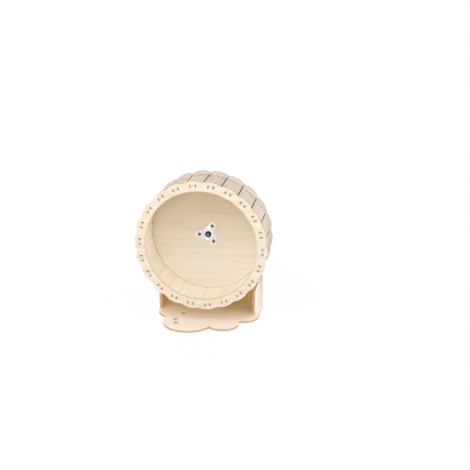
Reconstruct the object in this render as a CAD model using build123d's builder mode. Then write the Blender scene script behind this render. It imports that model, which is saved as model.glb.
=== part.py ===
from build123d import *
from math import cos, radians, sin, sqrt, tan
import os

# Exercise wheel for a small rodent, cut from plywood. A drum that is open at the front turns on a ball bearing.
# A bolt through an upright panel carries the bearing. The panel stands on a lobed base between two brackets.
# Sizes are in millimetres. The origin is on the floor below the axle, midway along the depth of the base.
# The drum opens towards -Y, and the axle runs along Y.

# Drum
slat_count = 22
first_slat_angle = 96  # degrees from +X towards +Z, where the drum stands at rest
tread_radius = 96  # from the axle to the flat inner face of a slat
tread_width = 64  # running width between ring and disc
slat_board = 4
slat_gap = 0.3  # between the inner edges of two slats
tenon_width = 7
slot_clearance = 0.05  # between the faces of a tenon and its slot
slot_end_gap = 1.2  # left open at each end of a tenon
wheel_board = 4  # ring and disc
opening_radius = 89.3
rim_over_slat = 6  # from the slat's outer face to the crest of the rim
rim_wave = 2.7  # from crest to valley
rim_valley_fillet = 2.5

# Ball bearing, drum bore and hub plate
bearing_bore = 6
bearing_diameter = 19
bearing_width = 6
bearing_sink = 2.3  # how far the bearing reaches into the disc
bearing_edge = 0.3
ball_count = 8
ball_diameter = 3.175
groove_depth = 0.35
ball_clearance = 0.05
cage_wall = 1.2
cage_back_web = 0.55
cage_front_reach = 0.9
shield_sheet = 0.3
shield_recess = 0.35
shield_lip = 0.36
shield_gap = 0.25
seat_clearance = 0.02
disc_bore_clearance = 0.1
hub_sheet = 1.2
hub_waist_radius = 12.5
hub_arm_radius = 6
hub_screw_reach = 4.48  # from the wall of the cup to the middle of a screw
hub_arm_count = 3
hub_arm_angle = 64.7
hub_inner_fillet = 8
cup_bend = 0.9
cup_lip_width = 1.2
hub_screw_diameter = 3
hub_screw_length = 8
hub_screw_head_diameter = 5.6
hub_screw_head_height = 1.9
hub_screw_head_round = 0.9
hub_screw_recess_depth = 1.1
hub_screw_recess_length = 2.8
hub_screw_recess_width = 0.7
hub_nut_flats = 5.5
hub_nut_height = 2.4

# Axle bolt and what it clamps
axle_height = 134
bolt_length = 35
bolt_head_diameter = 10.5
bolt_head_height = 3.3
bolt_head_round = 2.3
bolt_socket_flats = 4
bolt_socket_depth = 2.1
bolt_tip_chamfer = 0.8
sleeve_diameter = 9
washer_diameter = 18
washer_sheet = 1.6
lock_nut_flats = 10
lock_nut_height = 6
lock_nut_hex_height = 4.5
lock_nut_collar_diameter = 8.8
lock_nut_wall = 0.5
insert_height = 1.6
thread_clearance = 0.05
hole_clearance = 0.2

# Stand
stand_board = 4
wheel_to_panel = 15  # from the disc to the back panel
base_width = 176
base_depth = 130
lobe_reach = 50  # from the front of the body to the tip of the left lobe
base_behind_panel = 6
base_left_taper = 10  # the left side runs in by this much from the back to the front
base_left_corner = 28
base_right_corner = 26
base_back_corner = 5
left_lobe_inset = 24  # from the left side of the base
left_lobe_share = 0.661  # of the width that both lobes take
left_lobe_half_depth = 38
right_lobe_inset = 28
right_lobe_share = 0.435
right_lobe_half_depth = 24
right_lobe_setback = 15  # behind the tip of the left lobe
lobe_left_fillet = 12  # where the left lobe runs into the body
lobe_right_fillet = 3
panel_shoulder_height = 48  # from the base to the start of the shoulder
panel_shoulder_radius = 20
panel_top_radius = 38
panel_tab_width = 20
panel_tab_x = 45
bracket_inset = 6.8  # from the side of the base to the outer face of a bracket
bracket_reach = 41
bracket_height = 41
bracket_corner = 9.5
bracket_tab = 16
tab_clearance = 0.05  # all round a tab in its slot

# Depths along Y, from the back of the base to the mouth of the drum
base_back_y = base_depth / 2
base_front_y = -base_depth / 2
panel_back_y = base_back_y - base_behind_panel
panel_front_y = panel_back_y - stand_board
disc_back_y = panel_front_y - wheel_to_panel
disc_front_y = disc_back_y - wheel_board
ring_back_y = disc_front_y - tread_width
ring_front_y = ring_back_y - wheel_board
bearing_back_y = disc_front_y + bearing_sink
bearing_front_y = bearing_back_y - bearing_width
bearing_mid_y = bearing_back_y - bearing_width / 2

# Radii about the axle
slat_pitch = 360 / slat_count
slot_radius = tread_radius + slat_board / 2
rim_crest_radius = tread_radius + slat_board + rim_over_slat
rim_valley_radius = rim_crest_radius - rim_wave
bearing_radius = bearing_diameter / 2
ball_radius = ball_diameter / 2
pitch_radius = (bearing_bore + bearing_diameter) / 4
inner_land_radius = pitch_radius - ball_radius + groove_depth
outer_land_radius = pitch_radius + ball_radius - groove_depth
shield_seat_radius = outer_land_radius + shield_lip
cup_bore_radius = bearing_radius + seat_clearance
cup_radius = cup_bore_radius + hub_sheet
hub_screw_circle_radius = cup_radius + hub_screw_reach
bolt_radius = bearing_bore / 2 - seat_clearance
bolt_hole_radius = bolt_radius + hole_clearance

axle = Axis((0, 0, axle_height), (0, 1, 0))
profile_plane = Plane.XY.offset(axle_height)  # local x is the radius about the axle, local y is Y


def facing_front(y):
    """Plane square to the axle at depth y. Local x is +X, local y is +Z, and extruding goes to the front."""
    return Plane(origin=(0, y, axle_height), x_dir=(1, 0, 0), z_dir=(0, -1, 0))


def on_rim(radius, angle):
    """Point at a radius and an angle about the axle, on a plane that faces the front."""
    return (radius * cos(radians(angle)), radius * sin(radians(angle)))


def scalloped_board():
    """Face of a drum end inside a sketch: one arc crests over each slat, and each tenon has its slot."""
    with BuildLine() as rim:
        for number in range(slat_count):
            crest = first_slat_angle - number * slat_pitch
            ThreePointArc(
                on_rim(rim_valley_radius, crest + slat_pitch / 2),
                on_rim(rim_crest_radius, crest),
                on_rim(rim_valley_radius, crest - slat_pitch / 2),
            )
    outline = make_face(rim.edges())
    fillet(outline.vertices(), rim_valley_fillet)
    with PolarLocations(slot_radius, slat_count, start_angle=first_slat_angle):
        Rectangle(slat_board + 2 * slot_clearance, tenon_width + 2 * slot_end_gap, mode=Mode.SUBTRACT)


# Front ring of the drum, with the opening that the animal enters by
with BuildPart() as front_ring:
    with BuildSketch(facing_front(ring_back_y)):
        scalloped_board()
        Circle(opening_radius, mode=Mode.SUBTRACT)
    extrude(amount=wheel_board)
front_ring.part.label = "front_ring"
export_step(front_ring.part, "parts/front_ring.step")

# Rear disc of the drum, bored for the bearing and the screws of the hub plate
with BuildPart() as rear_disc:
    with BuildSketch(facing_front(disc_back_y)):
        scalloped_board()
        Circle(bearing_radius + disc_bore_clearance, mode=Mode.SUBTRACT)
        with PolarLocations(hub_screw_circle_radius, hub_arm_count, start_angle=hub_arm_angle):
            Circle(hub_screw_diameter / 2 + hole_clearance, mode=Mode.SUBTRACT)
    extrude(amount=wheel_board)
rear_disc.part.label = "rear_disc"
export_step(rear_disc.part, "parts/rear_disc.step")

# Slats of the running surface: flat boards edge to edge, with a tenon at each end that is flush with the rim
slat_width = 2 * tread_radius * tan(radians(slat_pitch / 2)) - slat_gap
for number in range(slat_count):
    angle = first_slat_angle - number * slat_pitch
    across, up = on_rim(1, angle)
    slat_plane = Plane(
        origin=(tread_radius * across, (ring_back_y + disc_front_y) / 2, axle_height + tread_radius * up),
        x_dir=(-up, 0, across),
        z_dir=(across, 0, up),
    )
    with BuildPart() as tread_slat:
        with BuildSketch(slat_plane):
            Rectangle(slat_width, tread_width)
            Rectangle(tenon_width, tread_width + 2 * wheel_board)
        extrude(amount=slat_board)
    tread_slat.part.label = f"tread_slat_{number + 1:02d}"
    export_step(tread_slat.part, f"parts/tread_slat_{number + 1:02d}.step")

# Hub plate, pressed from sheet steel: three arms on the disc and a raised cup whose lip holds the bearing
with BuildPart() as hub_plate:
    with BuildSketch(facing_front(disc_front_y)) as arms:
        Circle(hub_waist_radius)
        with PolarLocations(hub_screw_circle_radius, hub_arm_count, start_angle=hub_arm_angle):
            Circle(hub_arm_radius)
        fillet(arms.vertices(), hub_inner_fillet)
        with PolarLocations(hub_screw_circle_radius, hub_arm_count, start_angle=hub_arm_angle):
            Circle(hub_screw_diameter / 2 + hole_clearance, mode=Mode.SUBTRACT)
    extrude(amount=hub_sheet)
    with BuildSketch(facing_front(disc_front_y)):
        Circle(cup_radius)
    extrude(amount=disc_front_y - bearing_front_y + hub_sheet)
    cup_rims = hub_plate.edges().filter_by(GeomType.CIRCLE).filter_by(lambda rim: rim.radius == cup_radius)
    fillet(cup_rims, cup_bend)
    with BuildSketch(facing_front(disc_front_y)):
        Circle(cup_bore_radius)
    extrude(amount=disc_front_y - bearing_front_y, mode=Mode.SUBTRACT)
    with BuildSketch(facing_front(disc_front_y)):
        Circle(bearing_radius - cup_lip_width)
    extrude(amount=disc_front_y - bearing_front_y + hub_sheet, mode=Mode.SUBTRACT)
hub_plate.part.label = "hub_plate"
export_step(hub_plate.part, "parts/hub_plate.step")

# Three pan-head screws with a cross recess, through the hub plate and the disc
hub_face_y = disc_front_y - hub_sheet
with BuildPart() as hub_screws:
    with BuildSketch(facing_front(hub_face_y)):
        with PolarLocations(hub_screw_circle_radius, hub_arm_count, start_angle=hub_arm_angle):
            Circle(hub_screw_head_diameter / 2)
    extrude(amount=hub_screw_head_height)
    fillet(hub_screws.edges().group_by(Axis.Y)[0], hub_screw_head_round)
    with BuildSketch(facing_front(hub_face_y - hub_screw_head_height)):
        with PolarLocations(hub_screw_circle_radius, hub_arm_count, start_angle=hub_arm_angle):
            Rectangle(hub_screw_recess_length, hub_screw_recess_width)
            Rectangle(hub_screw_recess_width, hub_screw_recess_length)
    extrude(amount=-hub_screw_recess_depth, mode=Mode.SUBTRACT)
    with BuildSketch(facing_front(hub_face_y)):
        with PolarLocations(hub_screw_circle_radius, hub_arm_count, start_angle=hub_arm_angle):
            Circle(hub_screw_diameter / 2)
    extrude(amount=-hub_screw_length)
hub_screws.part.label = "hub_screws"
export_step(hub_screws.part, "parts/hub_screws.step")

# Their nuts, flat on the back of the disc
with BuildPart() as hub_nuts:
    with BuildSketch(facing_front(disc_back_y)):
        with PolarLocations(hub_screw_circle_radius, hub_arm_count, start_angle=hub_arm_angle):
            RegularPolygon(hub_nut_flats / 2, 6, major_radius=False)
            Circle(hub_screw_diameter / 2 + thread_clearance, mode=Mode.SUBTRACT)
    extrude(amount=-hub_nut_height)
hub_nuts.part.label = "hub_nuts"
export_step(hub_nuts.part, "parts/hub_nuts.step")

# Outer ring of the bearing, with the ball groove and a step at each end for a shield
with BuildPart() as bearing_outer_ring:
    with BuildSketch(profile_plane):
        with Locations(((outer_land_radius + bearing_radius) / 2, bearing_mid_y)):
            RectangleRounded(bearing_radius - outer_land_radius, bearing_width, bearing_edge)
        with Locations((pitch_radius, bearing_mid_y)):
            Circle(ball_radius + ball_clearance, mode=Mode.SUBTRACT)
        shield_step = shield_recess + shield_sheet
        for step_y in (bearing_front_y + shield_step / 2, bearing_back_y - shield_step / 2):
            with Locations((shield_seat_radius / 2, step_y)):
                Rectangle(shield_seat_radius, shield_step, mode=Mode.SUBTRACT)
    revolve(axis=axle)
bearing_outer_ring.part.label = "bearing_outer_ring"
export_step(bearing_outer_ring.part, "parts/bearing_outer_ring.step")

# Shields: thin washers in those steps, just clear of the inner ring
shield_depths = {
    "bearing_shield_front": bearing_front_y + shield_recess,
    "bearing_shield_rear": bearing_back_y - shield_recess - shield_sheet,
}
for shield_name, shield_y in shield_depths.items():
    with BuildPart() as bearing_shield:
        with BuildSketch(facing_front(shield_y)):
            Circle(shield_seat_radius - seat_clearance)
            Circle(inner_land_radius + shield_gap, mode=Mode.SUBTRACT)
        extrude(amount=-shield_sheet)
    bearing_shield.part.label = shield_name
    export_step(bearing_shield.part, f"parts/{shield_name}.step")

# Inner ring of the bearing, clamped on the bolt
with BuildPart() as bearing_inner_ring:
    with BuildSketch(profile_plane):
        with Locations(((bearing_bore / 2 + inner_land_radius) / 2, bearing_mid_y)):
            RectangleRounded(inner_land_radius - bearing_bore / 2, bearing_width, bearing_edge)
        with Locations((pitch_radius, bearing_mid_y)):
            Circle(ball_radius + ball_clearance, mode=Mode.SUBTRACT)
    revolve(axis=axle)
bearing_inner_ring.part.label = "bearing_inner_ring"
export_step(bearing_inner_ring.part, "parts/bearing_inner_ring.step")

# Balls, between the two grooves
with BuildPart() as bearing_balls:
    with Locations(facing_front(bearing_mid_y)):
        with PolarLocations(pitch_radius, ball_count):
            Sphere(ball_radius)
bearing_balls.part.label = "bearing_balls"
export_step(bearing_balls.part, "parts/bearing_balls.step")

# Crown cage that spaces the balls, open to the front and closed by a thin web behind them
cage_back_y = bearing_mid_y + ball_radius + ball_clearance + cage_back_web
with BuildPart() as bearing_cage:
    with BuildSketch(facing_front(cage_back_y)):
        Circle(pitch_radius + cage_wall / 2)
        Circle(pitch_radius - cage_wall / 2, mode=Mode.SUBTRACT)
    extrude(amount=cage_back_y - bearing_mid_y + cage_front_reach)
    with Locations(facing_front(bearing_mid_y)):
        with PolarLocations(pitch_radius, ball_count):
            Sphere(ball_radius + ball_clearance, mode=Mode.SUBTRACT)
bearing_cage.part.label = "bearing_cage"
export_step(bearing_cage.part, "parts/bearing_cage.step")

# Axle bolt: button head with a hex socket, against the inner ring, and a shank through the back panel
with BuildPart() as axle_bolt:
    with BuildSketch(facing_front(bearing_front_y)):
        Circle(bolt_head_diameter / 2)
    extrude(amount=bolt_head_height)
    fillet(axle_bolt.edges().group_by(Axis.Y)[0], bolt_head_round)
    with BuildSketch(facing_front(bearing_front_y - bolt_head_height)):
        RegularPolygon(bolt_socket_flats / 2, 6, major_radius=False)
    extrude(amount=-bolt_socket_depth, mode=Mode.SUBTRACT)
    with BuildSketch(facing_front(bearing_front_y)):
        Circle(bolt_radius)
    extrude(amount=-bolt_length)
    chamfer(axle_bolt.edges().group_by(Axis.Y)[-1], bolt_tip_chamfer)
axle_bolt.part.label = "axle_bolt"
export_step(axle_bolt.part, "parts/axle_bolt.step")

# Sleeve between the inner ring and the front washer of the back panel
sleeve_length = panel_front_y - washer_sheet - bearing_back_y
with BuildPart() as spacer_sleeve:
    with BuildSketch(facing_front(bearing_back_y)):
        Circle(sleeve_diameter / 2)
        Circle(bolt_hole_radius, mode=Mode.SUBTRACT)
    extrude(amount=-sleeve_length)
spacer_sleeve.part.label = "spacer_sleeve"
export_step(spacer_sleeve.part, "parts/spacer_sleeve.step")

# Wide washers on both faces of the back panel
washer_depths = {
    "panel_washer_front": panel_front_y - washer_sheet,
    "panel_washer_rear": panel_back_y,
}
for washer_name, washer_y in washer_depths.items():
    with BuildPart() as panel_washer:
        with BuildSketch(facing_front(washer_y)):
            Circle(washer_diameter / 2)
            Circle(bolt_hole_radius, mode=Mode.SUBTRACT)
        extrude(amount=-washer_sheet)
    panel_washer.part.label = washer_name
    export_step(panel_washer.part, f"parts/{washer_name}.step")

# Lock nut behind the back panel, with a collar that is turned in over a plastic insert
nut_face_y = panel_back_y + washer_sheet
insert_back_y = nut_face_y + lock_nut_height - lock_nut_wall
insert_radius = lock_nut_collar_diameter / 2 - lock_nut_wall
with BuildPart() as lock_nut:
    with BuildSketch(facing_front(nut_face_y)):
        RegularPolygon(lock_nut_flats / 2, 6, major_radius=False)
    extrude(amount=-lock_nut_hex_height)
    with BuildSketch(facing_front(nut_face_y)):
        Circle(lock_nut_collar_diameter / 2)
    extrude(amount=-lock_nut_height)
    fillet(lock_nut.edges().group_by(Axis.Y)[-1], lock_nut_wall)
    with BuildSketch(facing_front(nut_face_y)):
        Circle(bolt_radius + thread_clearance)
    extrude(amount=-lock_nut_height, mode=Mode.SUBTRACT)
    with BuildSketch(facing_front(insert_back_y)):
        Circle(insert_radius)
    extrude(amount=insert_height, mode=Mode.SUBTRACT)
lock_nut.part.label = "lock_nut"
export_step(lock_nut.part, "parts/lock_nut.step")

with BuildPart() as lock_nut_insert:
    with BuildSketch(facing_front(insert_back_y)):
        Circle(insert_radius - seat_clearance)
        Circle(bolt_radius + seat_clearance, mode=Mode.SUBTRACT)
    extrude(amount=insert_height)
lock_nut_insert.part.label = "lock_nut_insert"
export_step(lock_nut_insert.part, "parts/lock_nut_insert.step")

# Base plate: a rounded rectangle with a large and a small lobe in front, slotted for the tabs of what stands on it
bracket_middle_x = base_width / 2 - bracket_inset - stand_board / 2
bracket_tab_y = panel_front_y - bracket_reach / 2
body_front_y = base_front_y + lobe_reach
lobes_width = base_width - left_lobe_inset - right_lobe_inset
left_lobe_half_width = lobes_width * left_lobe_share / 2
left_lobe_x = left_lobe_inset + left_lobe_half_width - base_width / 2
right_lobe_half_width = lobes_width * right_lobe_share / 2
right_lobe_x = base_width / 2 - right_lobe_inset - right_lobe_half_width
right_lobe_y = base_front_y + right_lobe_setback + right_lobe_half_depth
right_lobe_cut = sqrt(1 - ((body_front_y - right_lobe_y) / right_lobe_half_depth) ** 2)
with BuildPart() as base_plate:
    with BuildSketch() as base_outline:
        with BuildLine():
            Polyline(
                (-base_width / 2, base_back_y),
                (base_width / 2, base_back_y),
                (base_width / 2, body_front_y),
                (base_left_taper - base_width / 2, body_front_y),
                close=True,
            )
        make_face()
        fillet(base_outline.vertices().group_by(Axis.Y)[-1], base_back_corner)
        fillet(base_outline.vertices().group_by(Axis.Y)[0].sort_by(Axis.X)[0], base_left_corner)
        fillet(base_outline.vertices().group_by(Axis.Y)[0].sort_by(Axis.X)[-1], base_right_corner)
        with Locations((left_lobe_x, base_front_y + left_lobe_half_depth)):
            Ellipse(left_lobe_half_width, left_lobe_half_depth)
        with Locations((right_lobe_x, right_lobe_y)):
            Ellipse(right_lobe_half_width, right_lobe_half_depth)
        left_joint = (left_lobe_x - left_lobe_half_width, body_front_y)
        right_joint = (right_lobe_x + right_lobe_half_width * right_lobe_cut, body_front_y)
        fillet(base_outline.vertices().sort_by_distance(left_joint)[0], lobe_left_fillet)
        fillet(base_outline.vertices().sort_by_distance(right_joint)[0], lobe_right_fillet)
        with Locations((-panel_tab_x, panel_back_y), (panel_tab_x, panel_back_y)):
            Rectangle(
                panel_tab_width + 2 * tab_clearance,
                stand_board,
                align=(Align.CENTER, Align.MAX),
                mode=Mode.SUBTRACT,
            )
        with Locations((-bracket_middle_x, bracket_tab_y), (bracket_middle_x, bracket_tab_y)):
            Rectangle(stand_board + 2 * tab_clearance, bracket_tab + 2 * tab_clearance, mode=Mode.SUBTRACT)
    extrude(amount=stand_board)
base_plate.part.label = "base_plate"
export_step(base_plate.part, "parts/base_plate.step")

# Back panel: as wide as the base, with round shoulders and a round top about the bolt, and two tabs below
shoulder_x = base_width / 2 - panel_shoulder_radius
shoulder_z = stand_board + panel_shoulder_height - axle_height
with BuildPart() as back_panel:
    with BuildSketch(facing_front(panel_back_y)) as panel_outline:
        Circle(panel_top_radius)
        with Locations((-shoulder_x, shoulder_z), (shoulder_x, shoulder_z)):
            Circle(panel_shoulder_radius)
        with Locations((0, stand_board - axle_height)):
            Rectangle(base_width, panel_shoulder_height, align=(Align.CENTER, Align.MIN))
        make_hull()
        with Locations((-panel_tab_x, -axle_height), (panel_tab_x, -axle_height)):
            Rectangle(panel_tab_width, stand_board, align=(Align.CENTER, Align.MIN))
        Circle(bolt_hole_radius, mode=Mode.SUBTRACT)
        slot_z = stand_board + bracket_height / 2 - axle_height
        with Locations((-bracket_middle_x, slot_z), (bracket_middle_x, slot_z)):
            Rectangle(stand_board + 2 * tab_clearance, bracket_tab + 2 * tab_clearance, mode=Mode.SUBTRACT)
    extrude(amount=stand_board)
back_panel.part.label = "back_panel"
export_step(back_panel.part, "parts/back_panel.step")

# Brackets between base and back panel, each with a tab down into the base and one back into the panel
bracket_sides = {"side_panel_left": -bracket_middle_x, "side_panel_right": bracket_middle_x}
for bracket_name, bracket_x in bracket_sides.items():
    with BuildPart() as side_panel:
        with BuildSketch(Plane.YZ.offset(bracket_x - stand_board / 2)):
            with Locations((panel_front_y, stand_board)):
                plate = Rectangle(bracket_reach, bracket_height, align=(Align.MAX, Align.MIN))
            fillet(plate.vertices().group_by(Axis.X)[0].sort_by(Axis.Y)[-1], bracket_corner)
            with Locations((bracket_tab_y, 0)):
                Rectangle(bracket_tab, stand_board, align=(Align.CENTER, Align.MIN))
            with Locations((panel_front_y, stand_board + bracket_height / 2)):
                Rectangle(stand_board, bracket_tab, align=(Align.MIN, Align.CENTER))
        extrude(amount=stand_board)
    side_panel.part.label = bracket_name
    export_step(side_panel.part, f"parts/{bracket_name}.step")
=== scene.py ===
import bmesh
import bpy
import numpy as np
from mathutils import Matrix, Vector


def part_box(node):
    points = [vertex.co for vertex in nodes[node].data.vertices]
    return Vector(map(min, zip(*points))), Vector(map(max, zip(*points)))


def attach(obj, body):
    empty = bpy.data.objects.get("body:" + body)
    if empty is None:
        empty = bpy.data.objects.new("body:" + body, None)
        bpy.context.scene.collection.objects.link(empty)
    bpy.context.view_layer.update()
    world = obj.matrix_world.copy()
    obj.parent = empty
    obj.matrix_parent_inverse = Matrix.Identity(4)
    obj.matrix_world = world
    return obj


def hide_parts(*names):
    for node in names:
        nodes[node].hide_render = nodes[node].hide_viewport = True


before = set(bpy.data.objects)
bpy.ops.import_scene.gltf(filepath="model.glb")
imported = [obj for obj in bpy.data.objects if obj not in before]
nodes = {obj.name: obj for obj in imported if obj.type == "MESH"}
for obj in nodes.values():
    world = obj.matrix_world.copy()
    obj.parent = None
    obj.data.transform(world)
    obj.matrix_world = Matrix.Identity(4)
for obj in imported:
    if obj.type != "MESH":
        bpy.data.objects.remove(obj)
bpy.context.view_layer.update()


# Front ring: the open end of the drum, cut from three-ply board with pale rotary-cut birch faces. Its cut walls are
# browned and show the plies. Every slat comes through it as a tenon, glued in a slot that is longer than the tenon.
board_half = 2.0  # half the thickness of the board; this and every other length of a piece is in millimetres
glue_line = 0.68  # how far each glue line lies from the board's middle plane
axle_z = 134.0  # height of the wheel's axle above the floor
opening_radius = 89.5
slat_count = 22
first_slat_angle = np.radians(96.0)
slat_middle_radius = 98.0  # from the axle to the middle of a slat's thickness
tenon_half = 3.5  # half the width of a tenon
slot_gap = 1.2  # how far a slot stays open beyond each edge of its tenon
soot_across, soot_out = 1.7, 3.2  # half width and half length of the oval of soot round a slot's open end


def board_middle(node, axis):
    """The middle of a carried-over board along the axis 0, 1 or 2, in millimetres."""
    return sum(corner[axis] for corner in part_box(node)) / 2 * 1000


class Field:
    """A number, colour or vector that varies over a surface: one socket in a material's node tree."""

    def __init__(self, tree, socket=None):
        self.tree = tree
        self.socket = socket

    def node(self, kind, settings=None, inputs=None, output=0):
        """Adds a node of this kind, sets it, feeds its inputs with values or fields, and gives one output."""
        made = self.tree.nodes.new(kind)
        for name, value in (settings or {}).items():
            setattr(made, name, value)
        for name, value in (inputs or {}).items():
            if isinstance(value, Field):
                self.tree.links.new(value.socket, made.inputs[name])
            else:
                made.inputs[name].default_value = value
        return Field(self.tree, made.outputs[output])

    def math(self, operation, *values):
        return self.node("ShaderNodeMath", {"operation": operation}, dict(enumerate(values)))

    def __add__(self, other):
        return self.math("ADD", self, other)

    __radd__ = __add__

    def __sub__(self, other):
        return self.math("SUBTRACT", self, other)

    def __rsub__(self, other):
        return self.math("SUBTRACT", other, self)

    def __mul__(self, other):
        return self.math("MULTIPLY", self, other)

    __rmul__ = __mul__

    def __truediv__(self, other):
        return self.math("DIVIDE", self, other)

    def __rtruediv__(self, other):
        return self.math("DIVIDE", other, self)

    def __pow__(self, other):
        return self.math("POWER", self, other)

    def __abs__(self):
        return self.math("ABSOLUTE", self)

    def step(self, start, end):
        """0 up to start, 1 from end on, and a smooth ramp between. It falls where end is the lower."""
        ends = {"Value": self, "From Min": start, "From Max": end}
        return self.node("ShaderNodeMapRange", {"interpolation_type": "SMOOTHSTEP"}, ends)

    def mix(self, first, second, blend="MIX"):
        """Colour that goes from first to second, or to their blend, as this field goes from 0 to 1."""
        settings = {"data_type": "RGBA", "blend_type": blend}
        return self.node("ShaderNodeMix", settings, {0: self, 6: first, 7: second}, 2)

    def noise(self, along, across, through, seed, detail, roughness=0.5):
        """Smooth noise from 0 to 1 over three coordinates and a seed."""
        spot = self.node("ShaderNodeCombineXYZ", inputs={0: along, 1: across, 2: through})
        shape = {"Vector": spot, "W": seed, "Scale": 1.0, "Detail": detail, "Roughness": roughness}
        return self.node("ShaderNodeTexNoise", {"noise_dimensions": "4D"}, shape)


def colour(red, green, blue):
    """Linear colour of a paint or veneer whose look on a screen is given from 0 to 255."""
    screen = np.array([red, green, blue]) / 255
    linear = np.where(screen <= 0.04045, screen / 12.92, ((screen + 0.055) / 1.055) ** 2.4)
    return (*linear.tolist(), 1.0)


def new_material(name):
    """A material, its shader, and the place on the piece in millimetres as three fields."""
    material = bpy.data.materials.new(name)
    material.use_nodes = True
    tree = material.node_tree
    spot = Field(tree).node("ShaderNodeTexCoord", output="Object")
    places = [spot.node("ShaderNodeSeparateXYZ", inputs={0: spot}, output=axis) * 1000.0 for axis in "XYZ"]
    return material, tree.nodes["Principled BSDF"], places


def feed(shader, name, field):
    """Links a field to one of the shader's inputs."""
    field.tree.links.new(field.socket, shader.inputs[name])


def bump(height, strength, distance):
    """The surface's direction where this height field roughens it. The distance is in metres."""
    return height.node("ShaderNodeBump", inputs={"Strength": strength, "Distance": distance, "Height": height})


pore_brown = colour(176, 134, 92)
cut_pale, cut_brown = colour(204, 182, 156), colour(122, 96, 74)
cut_clean = colour(222, 206, 184)
glue_brown = colour(98, 72, 52)
# Brown of charred wood, which the rear disc also takes for the painted shade in its corner.
burn_and_shade_brown = colour(118, 76, 46)


def plywood(name, lay, pale, tan, veil_and_shade=None, burn_and_shade=None, sanded=None, smoked=0.0):
    """Bare sanded plywood. lay gives, from x, y and z, the distance along the grain, across it and out of the board's
    middle plane, and the number of its piece of veneer. The face is streaks of tan on a pale ground: bands, lines,
    fibres and short pores, each a noise drawn out along the grain, and growth lines, which are level lines of a still
    longer noise. The factors of along and across are each noise's waves to the millimetre. veil_and_shade is where
    the
    face has another tint, and that tint: soot or another veneer on some pieces, painted shade on others. A place
    inside the board's thickness is on a cut wall, with ribs from the cut and two glue lines. It is browned by the
    cut, and more than usual where smoked is over 0. burn_and_shade gives how charred a place is, and on the rear disc
    how much painted corner shade it has. sanded gives how clean a place on a cut wall is."""
    material, shader, (x, y, z) = new_material(name)
    along, across, through, number = lay(x, y, z)
    out = abs(through)
    wander = x.noise(along * 0.011, across * 0.02, 0.0, number, 1.0) - 0.5
    bands = x.noise(along * 0.0035, across * 0.13 + wander * 0.7, 0.0, number, 3.0, 0.55)
    lines = x.noise(along * 0.005, across * 0.75 + wander * 3.0, 0.0, number + 4.0, 2.0, 0.6)
    fibres = x.noise(along * 0.05, across * 3.2, 0.0, number + 9.0, 3.0, 0.65)
    pores = x.noise(along * 0.35, across * 5.0, 0.0, number + 17.0, 1.0).step(0.62, 0.74)
    years = x.noise(along * 0.0035, across * 0.045 + wander * 0.25, 0.0, number + 40.0, 1.0) * 6.0
    growth = abs(years.math("FRACT", years) - 0.5).step(0.16, 0.02)
    streaks = bands.step(0.3, 0.75) * 0.45 + lines.step(0.45, 0.75) * 0.25 + fibres.step(0.3, 0.8) * 0.2
    face = (streaks + growth * 0.25).mix(colour(*pale), colour(*tan))
    face = (pores * 0.2).mix(face, pore_brown)
    if veil_and_shade:
        where, tint = veil_and_shade
        face = where(x, y, z).mix(face, colour(*tint), "MULTIPLY")
    ribs = x.noise(along * 1.6, across * 1.6, through * 0.12, number, 2.0)
    scorch = x.noise(along * 0.09, across * 0.09, through * 0.3, number + 2.0, 2.0)
    char = (ribs * 0.5 + scorch * 0.5 + through * 0.09 + smoked).step(0.2, 0.8)
    wall = char.mix(cut_pale, cut_brown)
    if sanded:
        wall = sanded(x, y, z).mix(wall, cut_clean)
    glue = abs(out - glue_line).step(0.22, 0.06)
    wall = (glue * 0.4).mix(wall, glue_brown)
    inside = out.step(board_half - 0.01, board_half - 0.07)
    surface = inside.mix(face, wall)
    rough = 0.58 + fibres * 0.14 + inside * 0.1
    height = fibres * 0.6 + lines * 0.4 - pores * 0.5 + inside * ribs * 1.5
    if burn_and_shade:
        burn_and_shade_amount = burn_and_shade(x, y, z)
        surface = burn_and_shade_amount.mix(surface, burn_and_shade_brown)
        height = height - burn_and_shade_amount * 0.6
        rough = rough + burn_and_shade_amount * 0.25
    feed(shader, "Base Color", surface)
    feed(shader, "Roughness", rough)
    feed(shader, "Normal", bump(height, 0.35, 0.00006))
    shader.inputs["Specular IOR Level"].default_value = 0.35
    return material


def dress(node, material):
    """Gives a carried-over piece its finish."""
    slots = nodes[node].data.materials
    slots.clear()
    slots.append(material)


def from_axle(x, z):
    """Distance of a place from the line of the axle."""
    up = z - axle_z
    return (x * x + up * up) ** 0.5


ring_middle = board_middle("front_ring", 1)


def opening_wall(x, y, z):
    """1 on the wall of the opening, which is sanded smooth where the animal climbs in."""
    return from_axle(x, z).step(opening_radius + 1.6, opening_radius + 1.1)


def slat_lay(x, y, z):
    """The angle about the axle, taken in steps of one slat, turns a place into the slat's own lengthwise, crosswise
    and outward distances. The number of the step picks the slat's piece of veneer."""
    up = z - axle_z
    turn = (up.math("ARCTAN2", up, x) - first_slat_angle) * (slat_count / (2 * np.pi)) + slat_count + 0.5
    number = turn.math("FLOOR", turn)
    within = (turn - number - 0.5) * (2 * np.pi / slat_count)
    radius = from_axle(x, z)
    across = radius * within.math("SINE", within)
    out = radius * within.math("COSINE", within)
    return y, across, out - slat_middle_radius, number * 3.7


def slot_soot(x, y, z):
    """Up to 1 in an oval of soot round each open end of a slot, and a little along the edge of the opening."""
    _, across, out, _ = slat_lay(x, y, z)
    open_end = tenon_half + slot_gap / 2
    reach = ((abs(across) - open_end) / soot_across) ** 2.0 + (out / soot_out) ** 2.0
    edge = from_axle(x, z).step(opening_radius + 1.9, opening_radius + 0.1)
    return reach.step(1.3, 0.4) * 0.9 + edge * 0.3


ring_wood = plywood(
    "birch_ply_ring",
    lambda x, y, z: (x, z, y - ring_middle, 1.0),
    pale=(230, 217, 202),
    tan=(212, 192, 168),
    veil_and_shade=(slot_soot, (216, 186, 156)),
    sanded=opening_wall,
    smoked=-0.23,
)
dress("front_ring", ring_wood)


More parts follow.
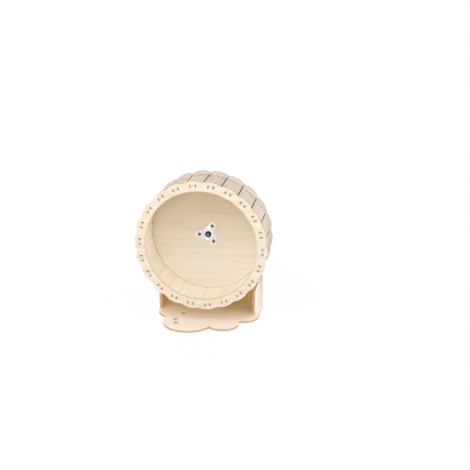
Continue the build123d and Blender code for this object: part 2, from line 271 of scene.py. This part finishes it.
# Rear disc: the closed end of the drum, from the same board with the grain level, so its streaks run straight
# across behind the running animal. It is bored for the bearing and drilled for the three screws of the hub.
drum_radius = slat_middle_radius - board_half  # from the axle to the inner faces of the slats
disc_middle = board_middle("rear_disc", 1)
disc_front = disc_middle - board_half


def painted_drum_shade(x, y, z):
    """Painted shade: up to 1 on the face inside the drum, faint at the bottom and strongest at the top, where the top
    of the drum would shade it.
    """
    up = z - axle_z
    front = from_axle(x, z).step(drum_radius + 5.0, drum_radius) * y.step(disc_middle + 0.5, disc_middle - 0.5)
    return front * (0.1 + up.step(-75.0, 80.0) * 0.9)


def painted_corner_shade(x, y, z):
    """Painted shade: a little darkening in the corner where the disc meets the slats."""
    near_slats = from_axle(x, z).step(drum_radius - 2.6, drum_radius - 0.1)
    return near_slats * y.step(disc_front + 0.5, disc_front + 0.05) * 0.22


disc_wood = plywood(
    "birch_ply_disc",
    lambda x, y, z: (x, z, y - disc_middle, 5.0),
    pale=(240, 234, 226),
    tan=(230, 216, 198),
    veil_and_shade=(painted_drum_shade, (232, 221, 201)),
    burn_and_shade=painted_corner_shade,
    smoked=-0.23,
)
dress("rear_disc", disc_wood)


# Running slats: 22 flat boards between ring and disc, side by side, grain along the slat. Each is cut from another
# part of the sheet, so no two match. Their inner edges almost meet, and outside they leave a dark open joint.
tenon_tip = 36.0  # from the middle of the drum's depth to the end of a tenon
scorch_start, scorch_full = 13.15, 13.6  # across the slat, where the burnt line along its edge starts and is darkest
slat_middle_y = board_middle("tread_slat_01", 1)


def tenon_end(x, y, z):
    """1 on the ends of the tenons, which are sanded flush with ring and disc."""
    return abs(y - slat_middle_y).step(tenon_tip - 0.2, tenon_tip - 0.05)


def slat_edges(x, y, z):
    """How scorched the outer face is: the cut burns it in a narrow line along both long edges of each slat."""
    _, across, out, _ = slat_lay(x, y, z)
    return abs(across).step(scorch_start, scorch_full) * out.step(board_half - 0.3, board_half - 0.05) * 0.9


def slat_outside(x, y, z):
    """Up to 1 on the outer faces, which stay greyer than the inner ones that the animal's feet polish, and cloudy."""
    along, across, out, number = slat_lay(x, y, z)
    clouds = x.noise(along * 0.012, across * 0.45, 0.0, number + 30.0, 3.0, 0.6)
    return out.step(0.0, 0.5) * (0.72 + clouds.step(0.35, 0.7) * 0.28)


slat_wood = plywood(
    "birch_ply_slats",
    slat_lay,
    pale=(253, 245, 232),
    tan=(240, 221, 192),
    veil_and_shade=(slat_outside, (206, 194, 190)),
    burn_and_shade=slat_edges,
    sanded=tenon_end,
    smoked=0.17,
)
for number in range(slat_count):
    dress(f"tread_slat_{number + 1:02d}", slat_wood)


# Hub plate: pressed from sheet steel with a bright zinc finish. Three arms lie on the disc, and a raised cup with an
# inward lip holds the bearing. The bearing's thin shields are pressed from the same bright sheet.
def shaded(tint, share):
    """The same tint at this share of its brightness."""
    return (*(share * part for part in tint[:3]), 1.0)


def metal(name, tint, rough, scratch, grain=0.6, wear_and_highlight=None):
    """Bare or plated metal: fine scratches in two directions and soft clouds change its colour, roughness and
    surface a little. wear_and_highlight is where its finish is lighter, partly worn and partly a painted highlight,
    and the tint there."""
    material, shader, (x, y, z) = new_material(name)
    lines = x.noise(x * grain * 0.5, y * grain * 6.0, z * grain * 6.0, 3.0, 2.0)
    crossed = x.noise(x * grain * 7.0, y * grain * 5.0, z * grain * 0.6, 8.0, 2.0)
    clouds = x.noise(x * 0.25, y * 0.25, z * 0.25, 1.0, 2.0)
    worn = lines * 0.5 + crossed * 0.5 + clouds * 0.4 - 0.2
    tone = worn.step(0.3, 0.75).mix(shaded(tint, 0.8), tint)
    if wear_and_highlight:
        where, wear_and_highlight_tint = wear_and_highlight
        tone = (where(x, y, z) * worn.step(0.2, 0.5)).mix(tone, wear_and_highlight_tint)
    feed(shader, "Base Color", tone)
    feed(shader, "Roughness", rough + (worn - 0.5) * scratch)
    feed(shader, "Normal", bump(worn, 0.2, 0.00002))
    shader.inputs["Metallic"].default_value = 1.0
    return material


pressed_steel = metal("bright_zinc_sheet", colour(238, 236, 239), rough=0.3, scratch=0.2)
for node in ("hub_plate", "bearing_shield_front", "bearing_shield_rear"):
    dress(node, pressed_steel)


# Screws and nuts of the hub: three zinc-plated pan heads with a cross recess, through the plate's arms and the disc
# into hexagon nuts. They are duller than the plate.
whole = 99.0  # no limit: a row's half width where it has no flats, or its radius where only the flats shape it
sharp_edge = np.radians(35.0)  # a bend sharper than this shows as an edge
hub_circle = 15.2
hub_turns = np.radians([64.7, 184.7, 304.7])
hub_spots = [(hub_circle * np.cos(turn), axle_z + hub_circle * np.sin(turn)) for turn in hub_turns]


def turned(name, rows, centres, ring=False, around=96, thread=None, recess=None):
    """A piece turned about a line along Y, as a grid of places round the line by rows from front to back. A row is
    its depth, its round radius and its hexagon's half width across flats. At the angle t the hexagon's wall is that
    half width over the cosine of t's distance from the middle of a flat, and the radius is the lesser of the round
    one and the wall. A thread, as its start, end, pitch and cut, takes from the radius the cut times a triangle wave
    of the depth over the pitch less the turns. A recess gives how far back a place is sunk. A ring's last row is
    joined to its first, and other pieces end in points on the line."""
    depth, round_radius, half_width = np.array(rows, float).T[:, :, None] * np.ones(around)
    angle = np.linspace(0.0, 2 * np.pi, around, endpoint=False) * np.ones_like(depth)
    wall = half_width / np.cos(angle % (np.pi / 3) - np.pi / 6)
    radius = np.minimum(round_radius, wall)
    if thread:
        start, end, pitch, cut = thread
        wave = np.abs((depth / pitch - angle / (2 * np.pi)) % 1.0 * 2 - 1)
        radius = radius - np.where((depth > start) & (depth < end) & (radius > 0), wave * cut, 0.0)
    right, up = radius * np.cos(angle), radius * np.sin(angle)
    if recess:
        depth = depth + recess(right, up, depth)
    grid = np.stack([right, depth, up], axis=-1).reshape(-1, 3)
    row_count = len(rows)
    row, column = np.meshgrid(np.arange(row_count if ring else row_count - 1), np.arange(around), indexing="ij")
    after, beside = (row + 1) % row_count, (column + 1) % around
    corners = [row * around + column, row * around + beside, after * around + beside, after * around + column]
    quads = np.stack(corners).reshape(4, -1).T
    places = np.concatenate([grid + (centre_x, 0.0, centre_z) for centre_x, centre_z in centres]) / 1000
    faces = np.concatenate([quads + copy * len(grid) for copy in range(len(centres))])
    mesh = bpy.data.meshes.new(name)
    mesh.from_pydata(places.tolist(), [], faces.tolist())
    shell = bmesh.new()
    shell.from_mesh(mesh)
    bmesh.ops.remove_doubles(shell, verts=shell.verts, dist=1e-7)
    bmesh.ops.recalc_face_normals(shell, faces=shell.faces)
    shell.to_mesh(mesh)
    shell.free()
    mesh.shade_smooth()
    mesh.set_sharp_from_angle(angle=sharp_edge)
    piece = bpy.data.objects.new(name, mesh)
    bpy.context.scene.collection.objects.link(piece)
    return piece


def fit(piece, node, body, material):
    """Puts a turned piece in place of the plain CAD one."""
    piece.data.materials.append(material)
    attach(piece, body)
    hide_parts(node)


def round_rows(depths, radii):
    """Rows without flats, from two arrays."""
    return [(depth, radius, whole) for depth, radius in zip(depths.tolist(), radii.tolist())]


def arc(start, end, leaves_outwards=True, steps=8):
    """Rows of a quarter of an oval from one depth and radius to another. It leaves the first along the radius, or
    else along the depth."""
    part = np.linspace(0.0, np.pi / 2, steps)
    slow, fast = 1 - np.cos(part), np.sin(part)
    if not leaves_outwards:
        slow, fast = fast, slow
    return round_rows(start[0] + (end[0] - start[0]) * slow, start[1] + (end[1] - start[1]) * fast)


def hexagon_rows(front, back, flats, bore):
    """Rows of a hexagon nut whose corners are cut by a cone of 30 degrees at both ends, round an open bore. The cone
    starts inside the flats and ends past the corners."""
    half, bore_edge = flats / 2, bore + 0.15
    cone = np.linspace(half * 0.95, half * 1.17, 9)
    rise = (cone - cone[0]) * np.tan(np.radians(30.0))
    front_rows = [(front + deep, radius, half) for deep, radius in zip(rise.tolist(), cone.tolist())]
    back_rows = [(back - deep, radius, half) for deep, radius in zip(rise.tolist(), cone.tolist())][::-1]
    return [(front, bore_edge, whole), *front_rows, *back_rows, (back, bore_edge, whole), (back - 0.25, bore, whole)]


screw_top, head_rim, head_side, head_back = 32.9, 33.1, 34.0, 34.8  # depths down the screw's head
head_top_radius, head_radius = 2.0, 2.8
head_fall = 0.048  # how far back the head's top falls at one millimetre from its middle
shank_start, thread_start, thread_end, screw_end = 34.85, 35.0, 42.5, 42.8
screw_radius, screw_tip_radius = 1.47, 1.15
screw_pitch, screw_cut, screw_rows_apart = 0.5, 0.27, 0.09
bar_half, bar_length = 0.5, 1.55  # half the width and half the length of each bar of the cross recess
recess_depth, recess_rise = 1.25, 0.4  # at the middle, and how much less it is one millimetre away


def cross_recess(right, up, depth):
    """A cross of two bars that is deepest at the middle. The sides and the ends of a bar slope."""
    def bar(wide, long):
        sides = np.clip((bar_half - np.abs(wide)) / 0.2, 0, 1)
        return sides * np.clip((bar_length - np.abs(long)) / 0.3, 0, 1)

    cross = np.maximum(bar(right, up), bar(up, right))
    return np.where(depth < head_rim, cross * (recess_depth - recess_rise * np.hypot(right, up)), 0.0)


top_radii = np.arange(20) / 10
screw_rows = [
    *round_rows(screw_top + head_fall * top_radii**2, top_radii),
    *arc((head_rim, head_top_radius), (head_side, head_radius)),
    (head_back, head_radius, whole),
    *((depth, screw_radius, whole) for depth in np.arange(shank_start, thread_end, screw_rows_apart).tolist()),
    (screw_end, screw_tip_radius, whole),
    (screw_end, 0.0, whole),
]
screw_thread = (thread_start, thread_end, screw_pitch, screw_cut)
screw_steel = metal("dull_zinc", colour(128, 120, 116), rough=0.42, scratch=0.25)
hub_screws = turned("hub_pan_heads", screw_rows, hub_spots, around=64, thread=screw_thread, recess=cross_recess)
fit(hub_screws, "hub_screws", "wheel", screw_steel)
hub_nut_rows = hexagon_rows(front=40.0, back=42.4, flats=5.5, bore=1.53)
hub_nuts = turned("hub_hexagon_nuts", hub_nut_rows, hub_spots, ring=True, around=72)
fit(hub_nuts, "hub_nuts", "wheel", screw_steel)


# Ball bearing: ground and polished rings and balls, with a pale nylon cage. The outer ring sits in the hub plate's
# cup, and the inner one is clamped on the bolt. The lock nut's insert is of the same nylon.
def plastic(name, tint, rough):
    """Moulded plastic: clouds of the faintest tint and a fine moulded texture."""
    material, shader, (x, y, z) = new_material(name)
    clouds = x.noise(x * 0.4, y * 0.4, z * 0.4, 2.0, 2.0)
    skin = x.noise(x * 6.0, y * 6.0, z * 6.0, 5.0, 2.0)
    feed(shader, "Base Color", clouds.step(0.3, 0.7).mix(shaded(tint, 0.85), tint))
    feed(shader, "Roughness", rough + skin * 0.1)
    feed(shader, "Normal", bump(skin, 0.2, 0.00003))
    return material


bearing_steel = metal("ground_bearing_steel", colour(205, 205, 208), rough=0.2, scratch=0.1)
for node in ("bearing_outer_ring", "bearing_inner_ring", "bearing_balls"):
    dress(node, bearing_steel)
nylon = plastic("pale_nylon", colour(228, 226, 214), rough=0.45)
for node in ("bearing_cage", "lock_nut_insert"):
    dress(node, nylon)


# Axle bolt: black oxide steel, a button head with a hexagon socket that is lighter inside, partly rubbed by the key
# and partly a painted highlight against its shade. Its shank is plain in the bearing and threaded behind it.
bolt_radius, bolt_tip_radius = 2.98, 2.2
bolt_head_top, bolt_head_side, bolt_head_back = 29.0, 31.9, 32.3  # depths down the bolt's head
bolt_top_radius, bolt_head_radius = 2.75, 5.25
bolt_head_corner = 0.15
socket_half, socket_bottom, socket_bevel, socket_mouth_radius = 2.0, 31.1, 0.25, 2.45
bolt_rows_start, bolt_rows_end = 44.0, 66.5
bolt_thread_start, bolt_thread_end, bolt_end = 44.5, 66.6, 67.3
bolt_pitch, bolt_cut, bolt_rows_apart = 1.0, 0.5, 0.16


def socket_wear_and_highlight(x, y, z):
    """Painted highlight and wear: 1 in and round the socket of the bolt's head, painted lighter against the socket's
    shade and rubbed by the key.
    """
    return from_axle(x, z).step(bolt_top_radius, 2.3) * y.step(32.0, 31.5)


black_steel = metal(
    "black_oxide", colour(60, 56, 56), rough=0.36, scratch=0.2, wear_and_highlight=(socket_wear_and_highlight, colour(146, 143, 147))
)
bolt_rows = [
    (socket_bottom, 0.0, whole),
    (socket_bottom, whole, socket_half),
    (bolt_head_top + socket_bevel, whole, socket_half),
    (bolt_head_top, socket_mouth_radius, whole),
    *arc((bolt_head_top, bolt_top_radius), (bolt_head_side, bolt_head_radius), steps=14),
    (bolt_head_back - bolt_head_corner, bolt_head_radius, whole),
    (bolt_head_back, bolt_head_radius - bolt_head_corner, whole),
    (bolt_head_back, bolt_radius, whole),
    *((depth, bolt_radius, whole) for depth in np.arange(bolt_rows_start, bolt_rows_end, bolt_rows_apart).tolist()),
    (bolt_end, bolt_tip_radius, whole),
    (bolt_end, 0.0, whole),
]
bolt_thread = (bolt_thread_start, bolt_thread_end, bolt_pitch, bolt_cut)
axle_bolt = turned("button_head_bolt", bolt_rows, [(0.0, axle_z)], thread=bolt_thread)
fit(axle_bolt, "axle_bolt", "stand", black_steel)


# Behind the bearing: a plain sleeve, two stamped washers that clamp the panel, and a lock nut whose collar is turned
# in over a nylon ring. All have a plain zinc finish.
washer_bore, washer_rim, washer_half = 3.18, 9.0, 0.8  # bore and outer radius, and half the thickness
washer_corner = 0.22  # power of the oval that its section follows, whose corners are nearly square
washer_places = {"panel_washer_front": 54.2, "panel_washer_rear": 59.8}
nut_front, nut_back, nut_flats, nut_bore = 60.6, 65.1, 10.0, 3.03
collar_back, collar_radius, collar_inside = 66.6, 4.4, 3.9
collar_bend, lip_outside, lip_inside = 0.8, 3.7, 3.45  # where the collar is turned in, and the flat of its lip
insert_front, insert_back = 64.5, 66.15

zinc_steel = metal("plain_zinc", colour(196, 194, 194), rough=0.34, scratch=0.2)
dress("spacer_sleeve", zinc_steel)
loop = np.linspace(0.0, 2 * np.pi, 48, endpoint=False)
outwards = np.sign(np.cos(loop)) * np.abs(np.cos(loop)) ** washer_corner
backwards = np.sign(np.sin(loop)) * np.abs(np.sin(loop)) ** washer_corner
washer_radii = (washer_rim + washer_bore) / 2 + (washer_rim - washer_bore) / 2 * outwards
for node, washer_middle in washer_places.items():
    washer_rows = round_rows(washer_middle + washer_half * backwards, washer_radii)
    washer = turned(node + "_stamped", washer_rows, [(0.0, axle_z)], ring=True, around=72)
    fit(washer, node, "stand", zinc_steel)
lock_nut_rows = [
    *hexagon_rows(nut_front, nut_back, nut_flats, nut_bore)[:-2],
    (nut_back, collar_radius, whole),
    *arc((collar_back - collar_bend, collar_radius), (collar_back, lip_outside), leaves_outwards=False),
    (collar_back, lip_inside, whole),
    (insert_back, lip_inside - 0.05, whole),
    (insert_back, collar_inside, whole),
    (insert_front, collar_inside, whole),
    (insert_front, nut_bore, whole),
]
lock_nut = turned("collared_lock_nut", lock_nut_rows, [(0.0, axle_z)], ring=True)
fit(lock_nut, "lock_nut", "stand", zinc_steel)


# Base plate: the same board, grain from side to side, with lobes along its front. Small paw prints are burnt into its
# large lobe, in the brown of the cut walls. The panel and the brackets stand on it with tabs in slots.
paw_prints = ((-37.0, -1.0, 0.3), (-45.0, -25.0, -0.35), (-41.0, -38.0, 0.15))  # x, y and the turn in radians
paw_pads = (  # right of and ahead of the print's middle, half width and half length
    (0.0, -1.6, 2.8, 2.3),
    (-3.4, 1.5, 0.95, 1.4),
    (-1.25, 3.4, 1.05, 1.6),
    (1.25, 3.4, 1.05, 1.6),
    (3.4, 1.5, 0.95, 1.4),
)
bracket_inside = 77.0  # from the middle of the base to the inner faces of the brackets
base_middle = board_middle("base_plate", 2)
base_top = base_middle + board_half


def paw_marks(x, y, z):
    """How charred a place on the base is: each print is one wide oval pad and four small oval toes in an arc in front
    of it, all in the print's own turned coordinates."""
    deepest = None
    for paw_x, paw_y, turn in paw_prints:
        right = (x - paw_x) * np.cos(turn) + (y - paw_y) * np.sin(turn)
        ahead = (y - paw_y) * np.cos(turn) - (x - paw_x) * np.sin(turn)
        for oval_x, oval_y, half_width, half_length in paw_pads:
            reach = ((right - oval_x) / half_width) ** 2.0 + ((ahead - oval_y) / half_length) ** 2.0
            oval = reach.step(1.25, 0.75)
            deepest = oval if deepest is None else deepest.math("MAXIMUM", deepest, oval)
    uneven = x.noise(x * 0.9, y * 0.9, 0.0, 3.0, 2.0)
    return deepest * z.step(base_top - 0.1, base_top - 0.01) * (0.4 + uneven * 0.5)


def painted_shade_under_drum(x, y, z):
    """Painted shade: up to 1 on the base between the brackets, rising towards the panel, where a warmer, yellower
    tint stands in for the shade under the drum.
    """
    return y.step(-22.0, 30.0) * y.step(55.5, 54.5) * abs(x).step(bracket_inside + 0.3, bracket_inside - 0.2)


base_wood = plywood(
    "birch_ply_base",
    lambda x, y, z: (x, y, z - base_middle, 21.0),
    pale=(254, 243, 229),
    tan=(242, 221, 194),
    veil_and_shade=(painted_shade_under_drum, (255, 248, 226)),
    burn_and_shade=paw_marks,
    smoked=-0.3,
)
dress("base_plate", base_wood)


# Back panel: stands on the base in two slots, grain upright, and carries the bolt between two wide washers. Between
# the brackets its front face is tinted browner than the wings outside them, as painted shade of the stand's inside.
panel_middle = board_middle("back_panel", 1)


def painted_shade_between_brackets(x, y, z):
    """Painted shade: 1 on the front face of the panel between the brackets, which is tinted browner for the shade
    inside the stand.
    """
    return y.step(55.5, 55.1) * abs(x).step(bracket_inside + 0.3, bracket_inside)


panel_wood = plywood(
    "birch_ply_panel",
    lambda x, y, z: (z, x, y - panel_middle, 33.0),
    pale=(242, 235, 225),
    tan=(229, 215, 195),
    veil_and_shade=(painted_shade_between_brackets, (243, 219, 162)),
)
dress("back_panel", panel_wood)


# Brackets: two upright boards with a round front corner that brace the panel on the base. Their inner faces are
# tinted browner than the outer ones, as painted shade inside the stand.
for side, inwards in (("left", 1.0), ("right", -1.0)):
    bracket_middle = board_middle(f"side_panel_{side}", 0)
    bracket_wood = plywood(
        f"birch_ply_bracket_{side}",
        lambda x, y, z: (z, y, (x - bracket_middle) * inwards, 44.0 - 3.0 * inwards),
        pale=(250, 239, 224),
        tan=(237, 217, 191),
        # Painted shade: the inner face is tinted browner for the shade inside the stand.
        veil_and_shade=(lambda x, y, z: ((x - bracket_middle) * inwards).step(1.0, 1.5), (245, 219, 160)),
        smoked=-0.4,
    )
    dress(f"side_panel_{side}", bracket_wood)


# Studio: a pale floor that stays white to the camera but keeps part of the shadow, under a dim white sky that the
# camera and the metal see as plain white.
floor_half = 12.0  # half the side of the floor, in metres
floor_corners = floor_half * np.array([[-1, -1, 0], [1, -1, 0], [1, 1, 0], [-1, 1, 0]])
floor_mesh = bpy.data.meshes.new("studio_floor")
floor_mesh.from_pydata(floor_corners.tolist(), [], [[0, 1, 2, 3]])
floor = bpy.data.objects.new("studio_floor", floor_mesh)
bpy.context.scene.collection.objects.link(floor)
sweep, sweep_shader, (x, y, z) = new_material("white_sweep")
soft = x.noise(x * 0.01, y * 0.01, 0.0, 2.0, 2.0)
feed(sweep_shader, "Base Color", soft.mix(colour(244, 244, 244), colour(248, 248, 247)))
feed(sweep_shader, "Roughness", 0.8 + soft * 0.1)
by_camera = x.node("ShaderNodeLightPath", output="Is Camera Ray")
far = ((x * x + y * y) ** 0.5).step(250.0, 700.0)
glow = x.node("ShaderNodeEmission", inputs={"Color": (1, 1, 1, 1), "Strength": 1.0})
plain = Field(sweep.node_tree, sweep_shader.outputs[0])
shown = x.node("ShaderNodeMixShader", inputs={0: by_camera * (0.93 + far * 0.07), 1: plain, 2: glow})
sweep.node_tree.links.new(shown.socket, sweep.node_tree.nodes["Material Output"].inputs["Surface"])
floor_mesh.materials.append(sweep)

world = bpy.data.worlds.new("studio")
world.use_nodes = True
bpy.context.scene.world = world
sky = Field(world.node_tree)
by_camera = sky.node("ShaderNodeLightPath", output="Is Camera Ray")
by_gloss = sky.node("ShaderNodeLightPath", output="Is Glossy Ray")
strength = 0.15 + by_camera.math("MAXIMUM", by_camera, by_gloss) * 0.85
background = world.node_tree.nodes["Background"]
background.inputs["Color"].default_value = (1.0, 1.0, 1.0, 1.0)
world.node_tree.links.new(strength.socket, background.inputs["Strength"])


# Lamps: square softboxes of slightly cool or warm white, high in front, low in front, at both sides and behind. The
# high left one is the brightest in front, so the wheel's shade falls down and to the right.
def softbox(name, place, power, tint=(1.0, 1.0, 1.0), size=0.9, aim=(0.0, 0.0, 0.1)):
    """A square area lamp at a place, turned to what it lights. Places and sizes are in metres, the power in watts."""
    lamp = bpy.data.lights.new(name, "AREA")
    lamp.size = size
    lamp.energy = power
    lamp.color = tint
    holder = bpy.data.objects.new(name, lamp)
    holder.location = place
    holder.rotation_euler = (Vector(aim) - Vector(place)).to_track_quat("-Z", "Y").to_euler()
    bpy.context.scene.collection.objects.link(holder)


softbox("high_left_lamp", (-0.5, -0.9, 1.2), 8.1, (0.96, 1.0, 1.04))
softbox("high_right_lamp", (0.5, -0.9, 1.2), 2.4)
softbox("front_lamp", (0.1, -1.3, 0.85), 2.6, (1.0, 0.95, 0.85), size=0.8)
softbox("low_lamp", (0.0, -1.2, 0.42), 2.7, (1.0, 0.96, 0.86), size=0.5, aim=(0.0, 0.0, 0.05))
softbox("right_lamp", (1.2, -0.3, 0.5), 9.0, (0.96, 1.0, 1.05))
softbox("left_lamp", (-1.2, -0.3, 0.5), 5.0, (1.0, 0.95, 0.86))
softbox("back_left_lamp", (-0.7, 1.1, 0.9), 7.0)
softbox("back_right_lamp", (0.7, 1.1, 0.9), 7.0)


# Camera: over a metre in front of the wheel, a little to its right and well above the axle. It is turned so that the
# wheel stands a little left of the middle of the frame and a little below it.
camera_data = bpy.data.cameras.new("camera")
camera_data.sensor_width = 36.0
camera_data.lens = 56.33
camera = bpy.data.objects.new("camera", camera_data)
camera.location = (0.227785, -1.095979, 0.511051)
camera_aim = Vector((0.055134, -0.032, 0.156532))
camera.rotation_euler = (camera_aim - camera.location).to_track_quat("-Z", "Y").to_euler()
bpy.context.scene.collection.objects.link(camera)
bpy.context.scene.camera = camera
bpy.context.scene.view_settings.view_transform = "Standard"
